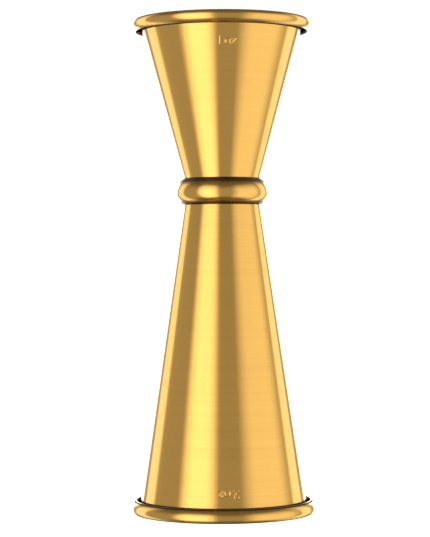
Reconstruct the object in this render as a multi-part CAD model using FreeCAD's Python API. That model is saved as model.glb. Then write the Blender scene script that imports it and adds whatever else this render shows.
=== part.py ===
import FreeCAD, Part
import math
import os

from FreeCAD import Vector

# Double bar jigger: two spun sheet cups joined floor to floor, with a collar over the joint.
# Millimetres, +Z up along the common axis. The origin is the centre of the large rim, on which it stands.

# Cups
SMALL_CUP_HEIGHT = 43.4     # outside of the floor to the crest of the rim
LARGE_CUP_HEIGHT = 81.8
SMALL_RIM_R = 22.9          # widest outside radius of the rolled rim
LARGE_RIM_R = 23.6
NECK_R = 9.7                # outside radius of both cones where they meet the collar
WALL = 0.6
FLOOR_INNER_ROUND = 0.6
SHOULDER_ROUND = 0.4        # edge of the large cup just under the collar
SPIGOT_ROOT_ROUND = 0.3

# Rolled rims: the wall turns outwards and down, and ends in a lip that curves back towards the wall
CURL_INNER_R = 0.72
RIM_LAND = 0.2              # flat ring on the crest, on which the jigger stands
SMALL_LIP_DROP = 1.75       # from the widest line of the rim to the outer corner of the lip
SMALL_LIP_R = 2.0           # outside radius of the curve of the lip
LARGE_LIP_DROP = 2.2
LARGE_LIP_R = 2.4

# Joint inside the collar
SMALL_SEAT_DEPTH = 2.9      # how far the small cup goes down into the collar
SPIGOT_LENGTH = 3.2         # how far the reduced end of the large cup goes up into it
WELD_R = 3.0
WELD_THICKNESS = 0.3
FIT_CLEARANCE = 0.05        # radial, between the collar's bore and each cup

# Collar
COLLAR_PROUD = 2.05         # how far its crest stands out from the neck
COLLAR_CREST_HEIGHT = 2.75  # above its lower face
COLLAR_EDGE = 0.1           # width of the thin edge at its upper face

# Derived sizes and places
CURL_R = CURL_INNER_R + WALL
FLOOR_OUTER_ROUND = FLOOR_INNER_ROUND + WALL
COLLAR_R = NECK_R + COLLAR_PROUD
COLLAR_HEIGHT = SPIGOT_LENGTH + WELD_THICKNESS + SMALL_SEAT_DEPTH
COLLAR_Z = LARGE_CUP_HEIGHT - SPIGOT_LENGTH
WELD_Z = LARGE_CUP_HEIGHT
SMALL_CUP_Z = WELD_Z + WELD_THICKNESS

AXIS_POINT = Vector(0, 0, 0)
UP = Vector(0, 0, 1)
SHORTEST_LINE = 1e-6


def corner_arc(before, corner, after, radius):
    """Start, middle and end of the arc of that radius that rounds a corner."""
    back = (before - corner).normalize()
    ahead = (after - corner).normalize()
    half = back.getAngle(ahead) / 2
    inward = (back + ahead).normalize()
    reach = radius / math.tan(half)
    middle = corner + inward * (radius / math.sin(half) - radius)
    return corner + back * reach, middle, corner + ahead * reach


def turned(corners):
    """Solid turned about Z from an outline of (radius, height, round) corners."""
    points = [Vector(r, 0, z) for r, z, _ in corners]
    edges = []
    pen = None
    first = None
    for i, (point, (_, _, radius)) in enumerate(zip(points, corners)):
        start, middle, end = point, None, point
        if radius > 0:
            start, middle, end = corner_arc(points[i - 1], point, points[(i + 1) % len(points)], radius)
        if pen is None:
            first = start
        elif pen.distanceToPoint(start) > SHORTEST_LINE:
            edges.append(Part.makeLine(pen, start))
        if middle is not None:
            edges.append(Part.Arc(start, middle, end).toShape())
        pen = end
    edges.append(Part.makeLine(pen, first))
    return Part.Face(Part.Wire(edges)).revolve(AXIS_POINT, UP, 360)


def wall_angle(height, rim_r, seat):
    """Lean of a cone's wall, which starts at the neck and runs tangent into the rolled rim."""
    run = rim_r - CURL_R - RIM_LAND - NECK_R
    rise = height - CURL_R - seat
    return math.atan2(run, rise) - math.asin(CURL_INNER_R / math.hypot(run, rise))


def outer_r(z, seat, angle):
    """Outside radius of a cone at a height above its own floor."""
    return NECK_R + (z - seat) * math.tan(angle)


def inner_r(z, seat, angle):
    return outer_r(z, seat, angle) - WALL / math.cos(angle)


def rolled_rim(height, rim_r, lip_drop, lip_round, seat, angle):
    """Corners from the top of the outer wall, round the open curl and its lip, to the inner wall."""
    widest_z = height - CURL_R
    lean = math.asin(lip_drop / lip_round)
    bend = math.tan(lean / 2)
    lip_r = rim_r - lip_drop * bend
    lip_z = widest_z - lip_drop
    under_crest = height - WALL
    return [
        (outer_r(under_crest, seat, angle), under_crest, CURL_INNER_R),
        (rim_r - WALL, under_crest, CURL_INNER_R),
        (rim_r - WALL, widest_z - (lip_round - WALL) * bend, lip_round - WALL),
        (lip_r - WALL * math.cos(lean), lip_z + WALL * math.sin(lean), 0),
        (lip_r, lip_z, 0),
        (rim_r, widest_z - lip_round * bend, lip_round),
        (rim_r, height, CURL_R),
        (inner_r(height, seat, angle), height, CURL_R),
    ]


SMALL_WALL_ANGLE = wall_angle(SMALL_CUP_HEIGHT, SMALL_RIM_R, SMALL_SEAT_DEPTH)
LARGE_WALL_ANGLE = wall_angle(LARGE_CUP_HEIGHT, LARGE_RIM_R, SPIGOT_LENGTH)
# The spigot is as wide as the small cup's floor, so that the two floors meet edge to edge
SPIGOT_R = outer_r(0, SMALL_SEAT_DEPTH, SMALL_WALL_ANGLE)


def small_cup():
    """Upper cup, mouth up. Its cone runs straight down into the collar."""
    seat, angle = SMALL_SEAT_DEPTH, SMALL_WALL_ANGLE
    corners = [(0, 0, 0), (outer_r(0, seat, angle), 0, FLOOR_OUTER_ROUND)]
    corners += rolled_rim(SMALL_CUP_HEIGHT, SMALL_RIM_R, SMALL_LIP_DROP, SMALL_LIP_R, seat, angle)
    corners += [(inner_r(WALL, seat, angle), WALL, FLOOR_INNER_ROUND), (0, WALL, 0)]
    cup = turned(corners)
    cup.translate(UP * SMALL_CUP_Z)
    return cup


def large_cup():
    """Lower cup, mouth down. Above a rounded shoulder it is reduced to a spigot for the collar."""
    seat, angle = SPIGOT_LENGTH, LARGE_WALL_ANGLE
    shoulder = seat + WALL
    corners = [
        (0, 0, 0),
        (SPIGOT_R, 0, FLOOR_OUTER_ROUND),
        (SPIGOT_R, seat, 0),
        (NECK_R, seat, SHOULDER_ROUND),
    ]
    corners += rolled_rim(LARGE_CUP_HEIGHT, LARGE_RIM_R, LARGE_LIP_DROP, LARGE_LIP_R, seat, angle)
    corners += [
        (inner_r(shoulder, seat, angle), shoulder, 0),
        (SPIGOT_R - WALL, shoulder, SPIGOT_ROOT_ROUND),
        (SPIGOT_R - WALL, WALL, FLOOR_INNER_ROUND),
        (0, WALL, 0),
    ]
    cup = turned(corners)
    cup.rotate(AXIS_POINT, Vector(1, 0, 0), 180)
    cup.translate(UP * LARGE_CUP_HEIGHT)
    return cup


def crest_corner(edge_r, rise):
    """Corner and radius of the arc that rises from the collar's edge and ends upright at its crest.

    The first value is the corner's distance from the crest, along the axis.
    """
    half_turn = math.atan2(COLLAR_R - edge_r, rise)
    radius = rise / math.sin(2 * half_turn)
    return radius * math.tan(half_turn), radius


def waist_collar():
    """Rounded ring that sits on the large cup's shoulder and hides the joint."""
    low, high = COLLAR_Z, COLLAR_Z + COLLAR_HEIGHT
    crest = low + COLLAR_CREST_HEIGHT
    upper_edge_r = NECK_R + FIT_CLEARANCE + COLLAR_EDGE
    below, lower_round = crest_corner(NECK_R, COLLAR_CREST_HEIGHT)
    above, upper_round = crest_corner(upper_edge_r, high - crest)
    return turned([
        (SPIGOT_R + FIT_CLEARANCE, low, 0),
        (NECK_R, low, 0),
        (COLLAR_R, crest - below, lower_round),
        (COLLAR_R, crest + above, upper_round),
        (upper_edge_r, high, 0),
        (NECK_R + FIT_CLEARANCE, high, 0),
        (SPIGOT_R + FIT_CLEARANCE, SMALL_CUP_Z, 0),
    ])


def floor_weld():
    """Flat weld nugget between the two floors."""
    return Part.makeCylinder(WELD_R, WELD_THICKNESS, Vector(0, 0, WELD_Z))


def main():
    pieces = {
        "small_cup": small_cup(),
        "large_cup": large_cup(),
        "waist_collar": waist_collar(),
        "floor_weld": floor_weld(),
    }
    os.makedirs("parts", exist_ok=True)
    for node, shape in pieces.items():
        shape.exportStep(f"parts/{node}.step")


main()
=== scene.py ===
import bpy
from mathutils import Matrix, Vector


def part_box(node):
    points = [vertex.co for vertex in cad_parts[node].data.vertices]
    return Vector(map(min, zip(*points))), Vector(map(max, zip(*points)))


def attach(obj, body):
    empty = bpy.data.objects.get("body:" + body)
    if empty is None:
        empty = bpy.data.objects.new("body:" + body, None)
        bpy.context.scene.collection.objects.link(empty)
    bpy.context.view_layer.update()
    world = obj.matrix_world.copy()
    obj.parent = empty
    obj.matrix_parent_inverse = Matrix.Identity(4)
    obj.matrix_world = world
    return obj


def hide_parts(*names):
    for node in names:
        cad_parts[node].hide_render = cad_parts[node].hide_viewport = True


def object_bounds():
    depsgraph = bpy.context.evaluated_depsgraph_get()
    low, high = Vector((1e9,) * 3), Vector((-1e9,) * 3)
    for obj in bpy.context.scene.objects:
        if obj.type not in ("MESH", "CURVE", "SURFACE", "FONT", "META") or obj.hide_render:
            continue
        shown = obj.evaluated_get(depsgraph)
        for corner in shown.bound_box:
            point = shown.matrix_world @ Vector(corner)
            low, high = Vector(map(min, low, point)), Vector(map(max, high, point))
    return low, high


bl_info = {
    "name": "Bar jigger",
    "version": (1, 0, 0),
    "blender": (4, 5, 0),
    "location": "View3D > Sidebar > Bar Jigger",
    "description": "Double bar jigger with two spun cups, a waist collar and the weld between the cups",
    "category": "Add Mesh",
}

import math

import bpy
import numpy as np
from mathutils import Vector

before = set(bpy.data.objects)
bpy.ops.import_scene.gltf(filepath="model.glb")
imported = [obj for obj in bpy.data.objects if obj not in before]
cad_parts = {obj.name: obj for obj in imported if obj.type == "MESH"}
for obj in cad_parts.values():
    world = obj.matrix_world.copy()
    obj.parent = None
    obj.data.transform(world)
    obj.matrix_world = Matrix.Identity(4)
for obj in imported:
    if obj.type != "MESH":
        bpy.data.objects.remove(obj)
CAD_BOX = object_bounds()

AXIS = (0.0, 0.0, 1.0)
CENTRE = (0.0, 0.0, 0.0)
MERGE_DISTANCE = 1e-6
CUTTER_MERGE_DISTANCE = 1e-7

# Close rows of faces beside an edge keep the gloss straight along the wall
CLOSE_ROW = 0.0001
SHORTEST_RUN_WITH_ROWS = 0.0008
SMALL_ROUND = 0.0003
STEP_ON_SMALL_ROUND = 15
STEP_ON_LARGE_ROUND = 6
SMOOTH_ANGLE = math.radians(35)
SMOOTH_ANGLE_AT_MARKS = math.radians(25)

# How far off a face its surroundings are tested, and how wide a ring of the rim is looked at
PROBE = 0.00025
RIM_ZONE = 0.003

FIGURE_SHARE_OF_FONT_SIZE = 0.7
ON_CONE_DISTANCE = 0.00001
ON_CONE_ALIGNMENT = 0.998


# ---------------------------------------------------------------- settings


class JiggerCupSettings(bpy.types.PropertyGroup):
    neck_radius: bpy.props.FloatProperty(
        name="Neck Radius", description="Outside radius of both cones at the collar",
        default=0.0097, min=0.004, unit="LENGTH", subtype="DISTANCE", precision=5)
    wall: bpy.props.FloatProperty(
        name="Wall", description="Thickness of the sheet",
        default=0.0006, min=0.0003, unit="LENGTH", subtype="DISTANCE", precision=5)
    floor_round: bpy.props.FloatProperty(
        name="Floor Round", description="Inside radius between floor and wall",
        default=0.0006, min=0.0002, unit="LENGTH", subtype="DISTANCE", precision=5)
    curl_radius: bpy.props.FloatProperty(
        name="Curl Radius", description="Inside radius of the rolled rim",
        default=0.00072, min=0.0003, unit="LENGTH", subtype="DISTANCE", precision=5)
    rim_land: bpy.props.FloatProperty(
        name="Rim Land", description="Width of the flat ring on the crest of the rim",
        default=0.0002, min=0.0, unit="LENGTH", subtype="DISTANCE", precision=5)
    small_lip_drop: bpy.props.FloatProperty(
        name="Small Lip Drop", description="From the widest line of the small rim to the corner of its lip",
        default=0.00175, min=0.0005, unit="LENGTH", subtype="DISTANCE", precision=5)
    large_lip_drop: bpy.props.FloatProperty(
        name="Large Lip Drop", description="From the widest line of the large rim to the corner of its lip",
        default=0.0022, min=0.0005, unit="LENGTH", subtype="DISTANCE", precision=5)
    small_lip_radius: bpy.props.FloatProperty(
        name="Small Lip Radius", description="Outside radius of the curve of the small rim's lip",
        default=0.0020, min=0.001, unit="LENGTH", subtype="DISTANCE", precision=5)
    large_lip_radius: bpy.props.FloatProperty(
        name="Large Lip Radius", description="Outside radius of the curve of the large rim's lip",
        default=0.0024, min=0.001, unit="LENGTH", subtype="DISTANCE", precision=5)
    spigot_length: bpy.props.FloatProperty(
        name="Spigot Length", description="Reduced end of the large cup that goes up into the collar",
        default=0.0032, min=0.001, unit="LENGTH", subtype="DISTANCE", precision=5)
    shoulder_round: bpy.props.FloatProperty(
        name="Shoulder Round", description="Edge of the large cup just under the collar",
        default=0.0004, min=0.0, unit="LENGTH", subtype="DISTANCE", precision=5)
    steps: bpy.props.IntProperty(
        name="Steps", description="Divisions round the axis", default=256, min=48, max=512)


class JiggerCollarSettings(bpy.types.PropertyGroup):
    crest_height: bpy.props.FloatProperty(
        name="Crest Height", description="Height of the widest line above the collar's lower face",
        default=0.00275, min=0.0005, unit="LENGTH", subtype="DISTANCE", precision=5)
    edge: bpy.props.FloatProperty(
        name="Edge", description="Width of the thin edge at the collar's upper face",
        default=0.0001, min=0.0, unit="LENGTH", subtype="DISTANCE", precision=5)
    clearance: bpy.props.FloatProperty(
        name="Clearance", description="Radial play between the bore and each cup",
        default=0.00005, min=0.0, unit="LENGTH", subtype="DISTANCE", precision=5)


class JiggerMarkSettings(bpy.types.PropertyGroup):
    small_text: bpy.props.StringProperty(
        name="Small Mark", description="Capacity mark on the small cup", default="1 oz")
    large_text: bpy.props.StringProperty(
        name="Large Mark", description="Capacity mark on the large cup", default="2 oz")
    height: bpy.props.FloatProperty(
        name="Figure Height", description="Height of the figures of the small mark",
        default=0.0021, min=0.0008, unit="LENGTH", subtype="DISTANCE", precision=5)
    large_height: bpy.props.FloatProperty(
        name="Large Figure Height", description="Height of the figures of the large mark",
        default=0.0023, min=0.0008, unit="LENGTH", subtype="DISTANCE", precision=5)
    depth: bpy.props.FloatProperty(
        name="Depth", description="Depth of the engraving",
        default=0.00007, min=0.00002, unit="LENGTH", subtype="DISTANCE", precision=5)
    flank: bpy.props.FloatProperty(
        name="Flank", description="Width of each slanting side of the engraved strokes",
        default=0.00015, min=0.00002, unit="LENGTH", subtype="DISTANCE", precision=5)
    small_drop: bpy.props.FloatProperty(
        name="Small Mark Drop", description="From the crest of the small rim to the middle of its mark",
        default=0.0073, min=0.003, unit="LENGTH", subtype="DISTANCE", precision=5)
    large_rise: bpy.props.FloatProperty(
        name="Large Mark Rise", description="From the crest of the large rim to the middle of its mark",
        default=0.0070, min=0.003, unit="LENGTH", subtype="DISTANCE", precision=5)
    turn: bpy.props.FloatProperty(
        name="Turn", description="Place of the marks round the axis, from the front",
        default=math.radians(3.3), subtype="ANGLE")


class JiggerFinishSettings(bpy.types.PropertyGroup):
    gold: bpy.props.FloatVectorProperty(
        name="Gold", description="Colour of the plated surface",
        default=(0.93, 0.54, 0.14), size=3, min=0.0, max=1.0, subtype="COLOR")
    gold_deep: bpy.props.FloatVectorProperty(
        name="Deep Gold", description="Colour in the turning lines of the plated surface",
        default=(0.90, 0.51, 0.12), size=3, min=0.0, max=1.0, subtype="COLOR")
    # Colour of the painted shade along the joints between the cups and the collar
    painted_joint_shade: bpy.props.FloatVectorProperty(
        name="Tarnish", description="Colour of the tarnish along the joints",
        default=(0.11, 0.075, 0.035), size=3, min=0.0, max=1.0, subtype="COLOR")
    weld: bpy.props.FloatVectorProperty(
        name="Weld", description="Colour of the weld metal",
        default=(0.55, 0.50, 0.44), size=3, min=0.0, max=1.0, subtype="COLOR")
    anisotropy: bpy.props.FloatProperty(
        name="Anisotropy", description="Stretch of the gloss across the turning lines",
        default=0.96, min=0.0, max=1.0, subtype="FACTOR")


class JiggerStageSettings(bpy.types.PropertyGroup):
    floor_size: bpy.props.FloatProperty(
        name="Floor Size", description="Width of the floor",
        default=12.0, min=1.0, unit="LENGTH", subtype="DISTANCE")
    tent_radius: bpy.props.FloatProperty(
        name="Tent Radius", description="Radius of the light tent round the jigger",
        default=2.5, min=0.8, unit="LENGTH", subtype="DISTANCE")
    backdrop_level: bpy.props.FloatProperty(
        name="Backdrop Level", description="Light of the white behind the jigger", default=3.0, min=0.1)
    room_level: bpy.props.FloatProperty(
        name="Room Level", description="Light between the panels", default=0.42, min=0.0)
    roof_level: bpy.props.FloatProperty(
        name="Roof Level", description="Light above and below the panels", default=0.15, min=0.0)
    camera_distance: bpy.props.FloatProperty(
        name="Camera Distance", description="From the camera to the axis",
        default=0.504, min=0.2, unit="LENGTH", subtype="DISTANCE", precision=4)
    camera_height: bpy.props.FloatProperty(
        name="Camera Height", description="Height of the camera above the floor",
        default=0.0631, unit="LENGTH", subtype="DISTANCE", precision=4)
    camera_side: bpy.props.FloatProperty(
        name="Camera Side", description="Sideways place of the camera",
        default=-0.0019, unit="LENGTH", subtype="DISTANCE", precision=4)
    camera_tilt: bpy.props.FloatProperty(
        name="Camera Tilt", description="Downward tilt of the camera",
        default=math.radians(0.1), subtype="ANGLE")
    camera_roll: bpy.props.FloatProperty(
        name="Camera Roll", description="Roll of the camera about its own axis",
        default=math.radians(0.27), subtype="ANGLE")
    lens: bpy.props.FloatProperty(
        name="Lens", description="Focal length on a 36 mm sensor",
        default=132.7, min=20.0)


SETTINGS = {
    "jigger_cups": JiggerCupSettings,
    "jigger_collar": JiggerCollarSettings,
    "jigger_marks": JiggerMarkSettings,
    "jigger_finish": JiggerFinishSettings,
    "jigger_stage": JiggerStageSettings,
}


# ---------------------------------------------------------------- drawing a section


def nothing_selected():
    if bpy.context.object and bpy.context.object.mode != "OBJECT":
        bpy.ops.object.mode_set(mode="OBJECT")
    bpy.ops.object.select_all(action="DESELECT")


class SectionPen:
    """Draws half a section in the XZ plane with extrudes and spins of one vertex."""

    def __init__(self, name, start):
        nothing_selected()
        bpy.ops.mesh.primitive_plane_add(size=0.001, location=start)
        self.piece = bpy.context.object
        self.piece.name = self.piece.data.name = name
        bpy.ops.object.transform_apply(location=True, rotation=True, scale=True)
        bpy.ops.object.mode_set(mode="EDIT")
        bpy.ops.mesh.select_mode(type="VERT")
        bpy.ops.mesh.select_all(action="SELECT")
        bpy.ops.mesh.merge(type="CENTER")
        self.at = Vector(start)

    def step_to(self, point):
        if (point - self.at).length > MERGE_DISTANCE:
            bpy.ops.mesh.extrude_vertices_move(TRANSFORM_OT_translate={"value": point - self.at})
            self.at = point.copy()

    def line_to(self, point):
        """A line with a close row at each end, so that the gloss stays straight along it."""
        run = point - self.at
        if run.length > SHORTEST_RUN_WITH_ROWS:
            keep = run.normalized() * CLOSE_ROW
            begin = self.at + keep
            self.step_to(begin)
            self.step_to(point - keep)
        self.step_to(point)

    def arc_to(self, centre, end):
        first, last = self.at - centre, end - centre
        turn = first.angle(last)
        step = STEP_ON_LARGE_ROUND if first.length > SMALL_ROUND else STEP_ON_SMALL_ROUND
        steps = max(3, math.ceil(math.degrees(turn) / step))
        bpy.ops.mesh.spin(steps=steps, angle=-turn, center=centre, axis=first.cross(last).normalized())
        self.at = end.copy()


def draw_section(name, corners, closed=False):
    """Section through (radius, height, round) corners. Each round is an arc tangent to both lines."""
    points = [Vector((r, 0.0, z)) for r, z, _ in corners]
    pen = None
    for i, (corner, (_, _, radius)) in enumerate(zip(points, corners)):
        start = end = corner
        if radius > 0:
            back = (points[i - 1] - corner).normalized()
            ahead = (points[(i + 1) % len(points)] - corner).normalized()
            half = back.angle(ahead) / 2
            start = corner + back * radius / math.tan(half)
            end = corner + ahead * radius / math.tan(half)
            centre = corner + (back + ahead).normalized() * radius / math.sin(half)
        if pen is None:
            pen = SectionPen(name, start)
            first = start
        pen.line_to(start)
        if radius > 0:
            pen.arc_to(centre, end)
    if closed:
        pen.line_to(first)
    return pen.piece


def turn_section(steps):
    """Turns the drawn section about the axis and leaves a closed, outward-facing shell."""
    bpy.ops.mesh.select_all(action="SELECT")
    bpy.ops.mesh.spin(steps=steps, angle=math.tau, center=CENTRE, axis=AXIS, use_auto_merge=True)
    bpy.ops.mesh.select_all(action="SELECT")
    bpy.ops.mesh.remove_doubles(threshold=MERGE_DISTANCE)
    bpy.ops.mesh.select_all(action="SELECT")
    bpy.ops.mesh.normals_make_consistent(inside=False)
    bpy.ops.object.mode_set(mode="OBJECT")
    bpy.ops.object.shade_smooth_by_angle(angle=SMOOTH_ANGLE)


def turned_over(corners, height):
    """The same corners with the cup turned mouth down under that height, in drawing order."""
    return [(r, height - z, rounding) for r, z, rounding in corners]


# ---------------------------------------------------------------- the cups


class CupShape:
    """Heights are measured from the cup's own floor, mouth up."""

    def __init__(self, cups, height, rim_radius, seat, lip_drop, lip_round):
        self.wall, self.neck = cups.wall, cups.neck_radius
        self.curl, self.curl_inside = cups.curl_radius + cups.wall, cups.curl_radius
        self.height, self.rim, self.seat = height, rim_radius, seat
        self.lip_round, self.lean = lip_round, math.asin(lip_drop / lip_round)
        self.bend = math.tan(self.lean / 2)
        self.widest = height - self.curl
        self.lip = Vector((rim_radius - lip_drop * self.bend, 0.0, self.widest - lip_drop))
        run = rim_radius - self.curl - cups.rim_land - self.neck
        rise = height - self.curl - seat
        self.angle = math.atan2(run, rise) - math.asin(self.curl_inside / math.hypot(run, rise))

    def outside(self, z):
        return self.neck + (z - self.seat) * math.tan(self.angle)

    def inside(self, z):
        return self.outside(z) - self.wall / math.cos(self.angle)

    def rolled_rim(self):
        """From the outer wall, round the open curl and its lip, to the inner wall."""
        under = self.height - self.wall
        # A row just under the lip's corner, where the painted shade inside the curl begins
        shade = self.lip.z - CLOSE_ROW
        inner = self.lip_round - self.wall
        return [
            (self.outside(shade), shade, 0),
            (self.outside(under), under, self.curl_inside),
            (self.rim - self.wall, under, self.curl_inside),
            (self.rim - self.wall, self.widest - inner * self.bend, inner),
            (self.lip.x - self.wall * math.cos(self.lean), self.lip.z + self.wall * math.sin(self.lean), 0),
            (self.lip.x, self.lip.z, 0),
            (self.rim, self.widest - self.lip_round * self.bend, self.lip_round),
            (self.rim, self.height, self.curl),
            (self.inside(self.height), self.height, self.curl),
        ]

    def in_curl(self, r, z, out_r, out_z):
        """True where a face at (r, z), facing (out_r, out_z), lines the hollow of the curl; these faces get
        the painted shade.
        """
        probe_r, probe_z = r + out_r * PROBE, z + out_z * PROBE
        drop = max(0.0, self.widest - self.lip_round * self.bend - probe_z)
        reach = math.hypot(max(0.0, probe_r - self.rim + self.lip_round), drop)
        return (self.lip.z - CLOSE_ROW < probe_z < self.height - self.wall
                and self.outside(probe_z) < probe_r < self.rim - self.wall
                and reach < self.lip_round - self.wall)


def small_cup_shape(cups):
    low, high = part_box("small_cup")
    collar_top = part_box("waist_collar")[1].z
    return CupShape(cups, high.z - low.z, high.x, collar_top - low.z,
                    cups.small_lip_drop, cups.small_lip_radius)


def large_cup_shape(cups):
    low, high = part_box("large_cup")
    return CupShape(cups, high.z - low.z, high.x, cups.spigot_length,
                    cups.large_lip_drop, cups.large_lip_radius)


def finish_piece(piece, node, *finishes):
    """Gives a finished piece its finishes, and ties it to the frame in place of its CAD node."""
    piece.data.materials.clear()
    for finish in finishes:
        piece.data.materials.append(finish)
    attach(piece, "root")
    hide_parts(node)


def engrave(cup, text, radius, z, slope, marks, height, upside_down):
    """Cuts a line of figures with slanting sides into a cone.

    radius and z are the place on the cone's front, and slope is how fast its radius grows with height.
    """
    nothing_selected()
    bpy.ops.object.text_add()
    words = bpy.context.object
    words.data.body = text
    words.data.align_x = words.data.align_y = "CENTER"
    words.data.size = height / FIGURE_SHARE_OF_FONT_SIZE
    words.data.space_word = 0.5
    words.data.space_character = 1.03
    words.data.offset = -marks.flank / 2
    words.data.bevel_depth = marks.flank
    words.data.bevel_resolution = 0
    words.data.resolution_u = 5
    if upside_down:
        words.rotation_euler.z = math.pi
    bpy.ops.object.convert(target="MESH")
    bpy.ops.object.transform_apply(location=True, rotation=True, scale=True)
    cutter = bpy.context.object
    cutter.name = cup.name + "_cutter"
    bpy.ops.object.mode_set(mode="EDIT")
    bpy.ops.mesh.select_all(action="SELECT")
    bpy.ops.mesh.remove_doubles(threshold=CUTTER_MERGE_DISTANCE)
    bpy.ops.mesh.select_all(action="SELECT")
    bpy.ops.mesh.normals_make_consistent(inside=False)
    bpy.ops.object.mode_set(mode="OBJECT")
    lean = math.atan(slope)
    outward, upward = math.cos(lean), -math.sin(lean)
    for vertex in cutter.data.vertices:
        across, along, proud = vertex.co
        proud *= marks.depth / marks.flank
        height_here = z + along * math.cos(lean) + proud * upward
        radius_here = radius + along * math.sin(lean) + proud * outward
        around = marks.turn + across / radius
        vertex.co = (radius_here * math.sin(around), -radius_here * math.cos(around), height_here)
    cutter.data.update()
    nothing_selected()
    cup.select_set(True)
    bpy.context.view_layer.objects.active = cup
    cut = cup.modifiers.new("engraving", "BOOLEAN")
    cut.operation, cut.solver, cut.object = "DIFFERENCE", "MANIFOLD", cutter
    before = len(cup.data.vertices)
    bpy.ops.object.modifier_apply(modifier=cut.name)
    if len(cup.data.vertices) <= before:
        raise RuntimeError("the engraving did not cut " + cup.name)
    bpy.data.objects.remove(cutter, do_unlink=True)
    bpy.ops.object.shade_smooth_by_angle(angle=SMOOTH_ANGLE_AT_MARKS)
    true_cone_gloss(cup, radius, z, outward, upward)


def true_cone_gloss(cup, radius, z, outward, upward):
    """Sets the exact normals of a cone on the engraved wall, so that the cut leaves no facets beside it."""
    mesh = cup.data
    count = len(mesh.loops)
    normals = np.empty(count * 3, np.float32)
    mesh.corner_normals.foreach_get("vector", normals)
    normals = normals.reshape(-1, 3)
    corner = np.empty(count, np.int32)
    mesh.loops.foreach_get("vertex_index", corner)
    points = np.empty(len(mesh.vertices) * 3, np.float32)
    mesh.vertices.foreach_get("co", points)
    points = points.reshape(-1, 3)[corner]
    faces = len(mesh.polygons)
    face_normals = np.empty(faces * 3, np.float32)
    mesh.polygons.foreach_get("normal", face_normals)
    totals = np.empty(faces, np.int32)
    mesh.polygons.foreach_get("loop_total", totals)
    face_normals = np.repeat(face_normals.reshape(-1, 3), totals, axis=0)
    distance = np.maximum(np.hypot(points[:, 0], points[:, 1]), 1e-9)
    exact = np.column_stack([
        points[:, 0] / distance * outward, points[:, 1] / distance * outward, np.full(count, upward)])
    below = (radius - distance) * outward + (z - points[:, 2]) * upward
    on_wall = (np.abs(below) < ON_CONE_DISTANCE) & ((face_normals * exact).sum(1) > ON_CONE_ALIGNMENT)
    normals[on_wall] = exact[on_wall]
    mesh.normals_split_custom_set(normals.tolist())


def paint_shade_in_curl(cup, shape, floor_height, mouth):
    """Gives the faces inside the rolled rim the material of painted shade. mouth is 1 upwards and -1
    downwards.
    """
    for face in cup.data.polygons:
        r = math.hypot(face.center.x, face.center.y)
        if r > shape.lip.x - RIM_ZONE:
            out_r = (face.normal.x * face.center.x + face.normal.y * face.center.y) / r
            if shape.in_curl(r, (face.center.z - floor_height) * mouth, out_r, face.normal.z * mouth):
                face.material_index = 1


# ---------------------------------------------------------------- finishes

FINE_LINES_PER_METRE = 5200.0
WIDE_RINGS_PER_METRE = 700.0
CUP_LINE_HEIGHT = 0.000006
COLLAR_LINE_HEIGHT = 0.000004
# Reach of the painted shade along the joints, on the cups and below and above the collar
FULL_JOINT_SHADE_SHARE = 0.3
CUP_JOINT_SHADE = 0.00025
COLLAR_JOINT_SHADE_BELOW = 0.0009
COLLAR_JOINT_SHADE_ABOVE = 0.0019

class NodeTree:
    """Short ways to add and join shader nodes."""

    def __init__(self, material):
        material.use_nodes = True
        self.nodes, self.links = material.node_tree.nodes, material.node_tree.links
        self.nodes.clear()

    def add(self, kind, label="", **values):
        node = self.nodes.new(kind)
        node.label = label
        for key, value in values.items():
            setattr(node, key, value)
        return node

    def join(self, source, target):
        self.links.new(source, target)

    def math(self, operation, first, second=None, label=""):
        node = self.add("ShaderNodeMath", label, operation=operation)
        for socket, value in zip(node.inputs, (first, second)):
            if isinstance(value, (int, float)):
                socket.default_value = value
            elif value is not None:
                self.join(value, socket)
        return node.outputs[0]

    def span(self, value, low, high, to_low, to_high, label="", smooth=False):
        node = self.add("ShaderNodeMapRange", label)
        node.interpolation_type = "SMOOTHSTEP" if smooth else "LINEAR"
        self.join(value, node.inputs["Value"])
        for name, number in (("From Min", low), ("From Max", high), ("To Min", to_low), ("To Max", to_high)):
            node.inputs[name].default_value = number
        return node.outputs["Result"]


def turning_lines(tree, per_metre, round_scale, detail, label):
    """Noise in fine rings round the axis, on walls and floors alike."""
    place = tree.add("ShaderNodeTexCoord")
    parts = tree.add("ShaderNodeSeparateXYZ")
    tree.join(place.outputs["Object"], parts.inputs[0])
    flat = tree.add("ShaderNodeCombineXYZ")
    tree.join(parts.outputs["X"], flat.inputs["X"])
    tree.join(parts.outputs["Y"], flat.inputs["Y"])
    reach = tree.add("ShaderNodeVectorMath", operation="LENGTH")
    tree.join(flat.outputs[0], reach.inputs[0])
    along = tree.math("ADD", parts.outputs["Z"], reach.outputs["Value"], "along the wall")
    ring = tree.add("ShaderNodeCombineXYZ", label)
    tree.join(tree.math("MULTIPLY", parts.outputs["X"], round_scale), ring.inputs["X"])
    tree.join(tree.math("MULTIPLY", parts.outputs["Y"], round_scale), ring.inputs["Y"])
    tree.join(tree.math("MULTIPLY", along, per_metre), ring.inputs["Z"])
    noise = tree.add("ShaderNodeTexNoise", label)
    noise.inputs["Scale"].default_value = 1.0
    noise.inputs["Detail"].default_value = detail
    noise.inputs["Roughness"].default_value = 0.6
    tree.join(ring.outputs[0], noise.inputs["Vector"])
    return noise.outputs["Fac"]


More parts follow.
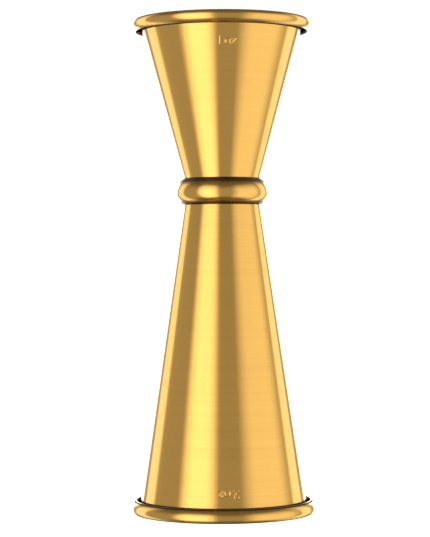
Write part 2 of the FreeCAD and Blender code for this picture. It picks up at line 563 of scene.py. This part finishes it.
def shade_along_joints(tree, joints):
    """Painted shade along the joints of the cups and the collar: 1 at each height, falling to 0 at its own
    reach.
    """
    place = tree.add("ShaderNodeTexCoord")
    parts = tree.add("ShaderNodeSeparateXYZ")
    tree.join(place.outputs["Object"], parts.inputs[0])
    total = 0.0
    for height, reach in joints:
        away = tree.math("ABSOLUTE", tree.math("SUBTRACT", parts.outputs["Z"], height))
        near = tree.span(away, reach * FULL_JOINT_SHADE_SHARE, reach, 1.0, 0.0, "joint", smooth=True)
        total = tree.math("MAXIMUM", near, total)
    return total


def plated_gold(name, finish, smoothest, roughest, anisotropy, line_height, joints):
    """Gold-plated spun steel: fine turning lines, soft wider rings, a few stains of handling, and painted
    shade along the joints.
    """
    if name in bpy.data.materials:
        return bpy.data.materials[name]
    material = bpy.data.materials.new(name)
    tree = NodeTree(material)
    out = tree.add("ShaderNodeOutputMaterial")
    shader = tree.add("ShaderNodeBsdfPrincipled", "plating")
    tree.join(shader.outputs[0], out.inputs["Surface"])
    shader.inputs["Metallic"].default_value = 1.0
    shader.inputs["Anisotropic"].default_value = anisotropy
    shader.inputs["Anisotropic Rotation"].default_value = 0.25
    tangent = tree.add("ShaderNodeTangent", "round the axis", direction_type="RADIAL", axis="Z")
    tree.join(tangent.outputs[0], shader.inputs["Tangent"])
    fine = turning_lines(tree, FINE_LINES_PER_METRE, 6.0, 3.0, "fine turning lines")
    wide = turning_lines(tree, WIDE_RINGS_PER_METRE, 3.0, 2.0, "wider rings")
    place = tree.add("ShaderNodeTexCoord")
    stains = tree.add("ShaderNodeTexNoise", "handling")
    stains.inputs["Scale"].default_value = 90.0
    stains.inputs["Detail"].default_value = 4.0
    tree.join(place.outputs["Object"], stains.inputs["Vector"])
    lines = tree.math("ADD", tree.math("MULTIPLY", fine, 0.6), tree.math("MULTIPLY", wide, 0.4))
    colour = tree.add("ShaderNodeMix", "plating colour", data_type="RGBA")
    tree.join(tree.span(lines, 0.35, 0.65, 0.0, 1.0), colour.inputs["Factor"])
    colour.inputs["A"].default_value = (*finish.gold_deep, 1.0)
    colour.inputs["B"].default_value = (*finish.gold, 1.0)
    # Painted shade along the joints darkens the colour there, and the same mask adds roughness
    painted_joint_shade = shade_along_joints(tree, joints)
    painted_shade = tree.add("ShaderNodeMix", "tarnish colour", data_type="RGBA")
    tree.join(painted_joint_shade, painted_shade.inputs["Factor"])
    tree.join(colour.outputs["Result"], painted_shade.inputs["A"])
    painted_shade.inputs["B"].default_value = (*finish.painted_joint_shade, 1.0)
    tree.join(painted_shade.outputs["Result"], shader.inputs["Base Color"])
    rough = tree.span(lines, 0.35, 0.65, roughest, smoothest, "roughness of the lines")
    worn = tree.span(stains.outputs["Fac"], 0.45, 0.75, 0.0, 0.03, "handled areas", smooth=True)
    worn = tree.math("ADD", worn, tree.math("MULTIPLY", painted_joint_shade, 0.3))
    tree.join(tree.math("ADD", rough, worn), shader.inputs["Roughness"])
    bump = tree.add("ShaderNodeBump", "turning lines")
    bump.inputs["Strength"].default_value = 0.04
    bump.inputs["Distance"].default_value = line_height
    tree.join(lines, bump.inputs["Height"])
    tree.join(bump.outputs[0], shader.inputs["Normal"])
    return material


def spun_gold(finish):
    low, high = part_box("waist_collar")
    return plated_gold("spun_gold_cups", finish, 0.16, 0.22, finish.anisotropy, CUP_LINE_HEIGHT,
                       ((low.z, CUP_JOINT_SHADE), (high.z, CUP_JOINT_SHADE)))


def painted_curl_shade():
    """Painted shade inside the rolled rims: a matt, near-black surface on the faces lining the hollow of the
    curl.
    """
    name = "dull_curl_inside"
    if name in bpy.data.materials:
        return bpy.data.materials[name]
    material = bpy.data.materials.new(name)
    tree = NodeTree(material)
    out = tree.add("ShaderNodeOutputMaterial")
    shader = tree.add("ShaderNodeBsdfPrincipled", "dull plating")
    tree.join(shader.outputs[0], out.inputs["Surface"])
    shader.inputs["Metallic"].default_value = 0.6
    # A noise mottles the painted shade in colour, roughness and bump
    painted_shade_mottle = turning_lines(tree, 900.0, 60.0, 4.0, "painted_shade_mottle")
    colour = tree.add("ShaderNodeMix", "grime colour", data_type="RGBA")
    tree.join(painted_shade_mottle, colour.inputs["Factor"])
    colour.inputs["A"].default_value = (0.010, 0.009, 0.008, 1.0)
    colour.inputs["B"].default_value = (0.030, 0.025, 0.020, 1.0)
    tree.join(colour.outputs["Result"], shader.inputs["Base Color"])
    tree.join(tree.span(painted_shade_mottle, 0.3, 0.7, 0.55, 0.75), shader.inputs["Roughness"])
    bump = tree.add("ShaderNodeBump", "painted_shade_mottle")
    bump.inputs["Strength"].default_value = 0.3
    bump.inputs["Distance"].default_value = 0.00003
    tree.join(painted_shade_mottle, bump.inputs["Height"])
    tree.join(bump.outputs[0], shader.inputs["Normal"])
    return material


def weld_metal(finish):
    """Dull bare metal of the spot weld, with a scaly surface."""
    material = bpy.data.materials.new("weld_metal")
    tree = NodeTree(material)
    out = tree.add("ShaderNodeOutputMaterial")
    shader = tree.add("ShaderNodeBsdfPrincipled", "weld")
    tree.join(shader.outputs[0], out.inputs["Surface"])
    shader.inputs["Metallic"].default_value = 1.0
    place = tree.add("ShaderNodeTexCoord")
    scale = tree.add("ShaderNodeTexNoise", "scale")
    scale.inputs["Scale"].default_value = 900.0
    scale.inputs["Detail"].default_value = 5.0
    tree.join(place.outputs["Object"], scale.inputs["Vector"])
    colour = tree.add("ShaderNodeMix", "weld colour", data_type="RGBA")
    tree.join(scale.outputs["Fac"], colour.inputs["Factor"])
    colour.inputs["A"].default_value = (*[c * 0.5 for c in finish.weld], 1.0)
    colour.inputs["B"].default_value = (*finish.weld, 1.0)
    tree.join(colour.outputs["Result"], shader.inputs["Base Color"])
    tree.join(tree.span(scale.outputs["Fac"], 0.3, 0.7, 0.35, 0.6), shader.inputs["Roughness"])
    bump = tree.add("ShaderNodeBump", "scale")
    bump.inputs["Strength"].default_value = 0.4
    bump.inputs["Distance"].default_value = 0.00004
    tree.join(scale.outputs["Fac"], bump.inputs["Height"])
    tree.join(bump.outputs[0], shader.inputs["Normal"])
    return material


# ---------------------------------------------------------------- operators


class JIGGER_OT_small_cup(bpy.types.Operator):
    """Draw and turn the small cup, roll its rim and engrave its capacity"""

    bl_idname = "jigger.small_cup"
    bl_label = "Small Cup"
    bl_options = {"REGISTER", "UNDO"}

    def execute(self, context):
        scene = context.scene
        cups, marks = scene.jigger_cups, scene.jigger_marks
        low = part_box("small_cup")[0]
        shape = small_cup_shape(cups)
        corners = [(0, 0, 0), (shape.outside(0), 0, cups.floor_round + cups.wall)]
        corners += shape.rolled_rim()
        corners += [(shape.inside(cups.wall), cups.wall, cups.floor_round), (0, cups.wall, 0)]
        cup = draw_section("small_cup_shell", [(r, z + low.z, rounding) for r, z, rounding in corners])
        turn_section(cups.steps)
        z = shape.height - marks.small_drop
        engrave(cup, marks.small_text, shape.outside(z), low.z + z, math.tan(shape.angle), marks,
                marks.height, False)
        finish_piece(cup, "small_cup", spun_gold(scene.jigger_finish), painted_curl_shade())
        paint_shade_in_curl(cup, shape, low.z, 1)
        return {"FINISHED"}


class JIGGER_OT_large_cup(bpy.types.Operator):
    """Draw and turn the large cup mouth down, with its spigot, and engrave its capacity"""

    bl_idname = "jigger.large_cup"
    bl_label = "Large Cup"
    bl_options = {"REGISTER", "UNDO"}

    def execute(self, context):
        scene = context.scene
        cups, marks = scene.jigger_cups, scene.jigger_marks
        shape = large_cup_shape(cups)
        spigot = small_cup_shape(cups).outside(0)
        shoulder = shape.seat + cups.wall
        corners = [
            (0, 0, 0),
            (spigot, 0, cups.floor_round + cups.wall),
            (spigot, shape.seat, 0),
            (cups.neck_radius, shape.seat, cups.shoulder_round),
        ]
        corners += shape.rolled_rim()
        corners += [
            (shape.inside(shoulder), shoulder, 0),
            (spigot - cups.wall, shoulder, cups.floor_round / 2),
            (spigot - cups.wall, cups.wall, cups.floor_round),
            (0, cups.wall, 0),
        ]
        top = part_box("large_cup")[1].z
        cup = draw_section("large_cup_shell", turned_over(corners, top))
        turn_section(cups.steps)
        z = marks.large_rise
        engrave(cup, marks.large_text, shape.outside(top - z), z, -math.tan(shape.angle), marks,
                marks.large_height, True)
        finish_piece(cup, "large_cup", spun_gold(scene.jigger_finish), painted_curl_shade())
        paint_shade_in_curl(cup, shape, top, -1)
        return {"FINISHED"}


class JIGGER_OT_waist_collar(bpy.types.Operator):
    """Draw and turn the rounded collar over the joint of the cups"""

    bl_idname = "jigger.waist_collar"
    bl_label = "Waist Collar"
    bl_options = {"REGISTER", "UNDO"}

    def execute(self, context):
        scene = context.scene
        cups, collar = scene.jigger_cups, scene.jigger_collar
        low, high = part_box("waist_collar")
        radius = high.x
        crest = low.z + collar.crest_height
        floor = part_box("small_cup")[0].z
        spigot = small_cup_shape(cups).outside(0)
        edge = cups.neck_radius + collar.clearance + collar.edge

        def crest_corner(edge_r, rise):
            half = math.atan2(radius - edge_r, rise)
            rounding = rise / math.sin(2 * half)
            return rounding * math.tan(half), rounding

        below, lower_round = crest_corner(cups.neck_radius, collar.crest_height)
        above, upper_round = crest_corner(edge, high.z - crest)
        ring = draw_section("collar_ring", [
            (spigot + collar.clearance, low.z, 0),
            (cups.neck_radius, low.z, 0),
            (radius, crest - below, lower_round),
            (radius, crest + above, upper_round),
            (edge, high.z, 0),
            (cups.neck_radius + collar.clearance, high.z, 0),
            (spigot + collar.clearance, floor, 0),
        ], closed=True)
        turn_section(cups.steps)
        finish_piece(ring, "waist_collar", plated_gold(
            "polished_gold_collar", scene.jigger_finish, 0.14, 0.20, 0.5, COLLAR_LINE_HEIGHT,
            ((low.z, COLLAR_JOINT_SHADE_BELOW), (high.z, COLLAR_JOINT_SHADE_ABOVE))))
        return {"FINISHED"}


class JIGGER_OT_floor_weld(bpy.types.Operator):
    """Draw and turn the weld nugget between the two floors"""

    bl_idname = "jigger.floor_weld"
    bl_label = "Floor Weld"
    bl_options = {"REGISTER", "UNDO"}

    def execute(self, context):
        scene = context.scene
        low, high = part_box("floor_weld")
        edge = (high.z - low.z) * 0.3
        nugget = draw_section("weld_nugget", [
            (0, low.z, 0), (high.x, low.z, edge), (high.x, high.z, edge), (0, high.z, 0)])
        turn_section(96)
        finish_piece(nugget, "floor_weld", weld_metal(scene.jigger_finish))
        return {"FINISHED"}


# Soft white panels: name, centre and half width round the jigger from the camera, soft edge (degrees), level
SOFT_PANELS = (
    ("main bank", -37.0, 10.0, 30.0, 1.8),
    ("broad bank", 68.0, 18.0, 44.0, 1.1),
    ("left fill", -125.0, 9.0, 9.0, 1.35),
    ("right fill", 125.0, 9.0, 9.0, 1.35),
)


def tent_material(stage):
    """Plain white emission of the light tent: a dim room, four soft panels and a lit backdrop."""
    material = bpy.data.materials.new("light_tent")
    tree = NodeTree(material)
    out = tree.add("ShaderNodeOutputMaterial")
    glow = tree.add("ShaderNodeEmission", "panels")
    tree.join(glow.outputs[0], out.inputs["Surface"])
    place = tree.add("ShaderNodeTexCoord")
    parts = tree.add("ShaderNodeSeparateXYZ")
    tree.join(place.outputs["Object"], parts.inputs[0])
    turn = tree.math("ARCTAN2", parts.outputs["X"], tree.math("MULTIPLY", parts.outputs["Y"], -1.0))
    level = stage.room_level
    for name, centre, half_width, soft_edge, panel_level in SOFT_PANELS:
        away = tree.math("ABSOLUTE", tree.math("SUBTRACT", turn, math.radians(centre)))
        panel = tree.span(away, math.radians(half_width), math.radians(half_width + soft_edge),
                          panel_level, 0.0, name, smooth=True)
        level = tree.math("MAXIMUM", panel, level)
    climb = tree.math("ARCTAN2", parts.outputs["Z"], tree.math("SQRT", tree.math(
        "ADD", tree.math("POWER", parts.outputs["X"], 2.0), tree.math("POWER", parts.outputs["Y"], 2.0))))
    above = tree.span(climb, math.radians(12), math.radians(60), 1.0, 0.0, "above the panels", smooth=True)
    below = tree.span(climb, math.radians(-34), math.radians(-70), 1.0, 0.0, "below the panels", smooth=True)
    level = tree.math("MULTIPLY", level, tree.math("MULTIPLY", above, below))
    aside = tree.math("ABSOLUTE", turn)
    behind = tree.span(aside, math.radians(149), math.radians(152), 0.0, 1.0, "backdrop")
    height = tree.span(tree.math("ABSOLUTE", climb), math.radians(12), math.radians(24),
                       stage.backdrop_level, 0.0, "height of the backdrop", smooth=True)
    front = tree.math("MULTIPLY", level, tree.math("SUBTRACT", 1.0, behind))
    level = tree.math("ADD", front, tree.math("MULTIPLY", behind, height))
    tree.join(tree.math("MAXIMUM", level, stage.roof_level), glow.inputs["Strength"])
    material.cycles.emission_sampling = "NONE"
    return material


def floor_material():
    """Plain white floor, bright enough to show no shadow."""
    material = bpy.data.materials.new("white_floor")
    tree = NodeTree(material)
    out = tree.add("ShaderNodeOutputMaterial")
    shader = tree.add("ShaderNodeBsdfPrincipled", "floor")
    tree.join(shader.outputs[0], out.inputs["Surface"])
    shader.inputs["Base Color"].default_value = (0.9, 0.9, 0.9, 1.0)
    shader.inputs["Roughness"].default_value = 0.9
    shader.inputs["Emission Color"].default_value = (1.0, 1.0, 1.0, 1.0)
    shader.inputs["Emission Strength"].default_value = 1.1
    return material


class JIGGER_OT_stage(bpy.types.Operator):
    """Set up the floor, the light tent, the background and the camera"""

    bl_idname = "jigger.stage"
    bl_label = "Stage"
    bl_options = {"REGISTER", "UNDO"}

    def execute(self, context):
        scene, stage = context.scene, context.scene.jigger_stage
        nothing_selected()
        bpy.ops.mesh.primitive_plane_add(size=stage.floor_size, location=(0, 0, CAD_BOX[0].z - 0.00002))
        floor = context.object
        floor.name = "floor"
        floor.data.materials.append(floor_material())
        floor.visible_glossy = False
        middle = (CAD_BOX[0].z + CAD_BOX[1].z) / 2
        bpy.ops.mesh.primitive_uv_sphere_add(
            segments=96, ring_count=48, radius=stage.tent_radius, location=(0, 0, middle))
        tent = context.object
        tent.name = "light_tent"
        tent.data.materials.append(tent_material(stage))
        tent.visible_camera = tent.visible_diffuse = tent.visible_shadow = False
        world = bpy.data.worlds.new("white_room")
        scene.world = world
        world.use_nodes = True
        background = world.node_tree.nodes["Background"]
        background.inputs["Color"].default_value = (1.0, 1.0, 1.0, 1.0)
        background.inputs["Strength"].default_value = 1.1
        scene.view_settings.view_transform = "Standard"
        camera_data = bpy.data.cameras.new("camera")
        camera_data.type = "PERSP"
        camera_data.sensor_fit = "AUTO"
        camera_data.sensor_width = 36.0
        camera_data.lens = stage.lens
        camera_data.clip_start, camera_data.clip_end = 0.01, 50.0
        camera = bpy.data.objects.new("camera", camera_data)
        scene.collection.objects.link(camera)
        camera.location = (stage.camera_side, -stage.camera_distance, stage.camera_height)
        camera.rotation_mode = "XYZ"
        camera.rotation_euler = (math.pi / 2 - stage.camera_tilt, stage.camera_roll, 0.0)
        scene.camera = camera
        return {"FINISHED"}


OPERATORS = (
    JIGGER_OT_large_cup,
    JIGGER_OT_small_cup,
    JIGGER_OT_waist_collar,
    JIGGER_OT_floor_weld,
    JIGGER_OT_stage,
)


class JIGGER_PT_panel(bpy.types.Panel):
    bl_idname = "JIGGER_PT_panel"
    bl_label = "Bar Jigger"
    bl_space_type = "VIEW_3D"
    bl_region_type = "UI"
    bl_category = "Bar Jigger"

    def draw(self, context):
        for operator in OPERATORS:
            self.layout.operator(operator.bl_idname)
        for name, group in SETTINGS.items():
            box = self.layout.box()
            box.label(text=name.replace("_", " ").title())
            for setting in group.__annotations__:
                box.prop(getattr(context.scene, name), setting)


def register():
    for name, group in SETTINGS.items():
        bpy.utils.register_class(group)
        setattr(bpy.types.Scene, name, bpy.props.PointerProperty(type=group))
    for entry in (*OPERATORS, JIGGER_PT_panel):
        bpy.utils.register_class(entry)


def unregister():
    for entry in reversed((*OPERATORS, JIGGER_PT_panel)):
        bpy.utils.unregister_class(entry)
    for name, group in reversed(SETTINGS.items()):
        delattr(bpy.types.Scene, name)
        bpy.utils.unregister_class(group)


def main():
    register()
    bpy.ops.jigger.large_cup()
    bpy.ops.jigger.small_cup()
    bpy.ops.jigger.waist_collar()
    bpy.ops.jigger.floor_weld()
    bpy.ops.jigger.stage()


if __name__ == "__main__":
    main()
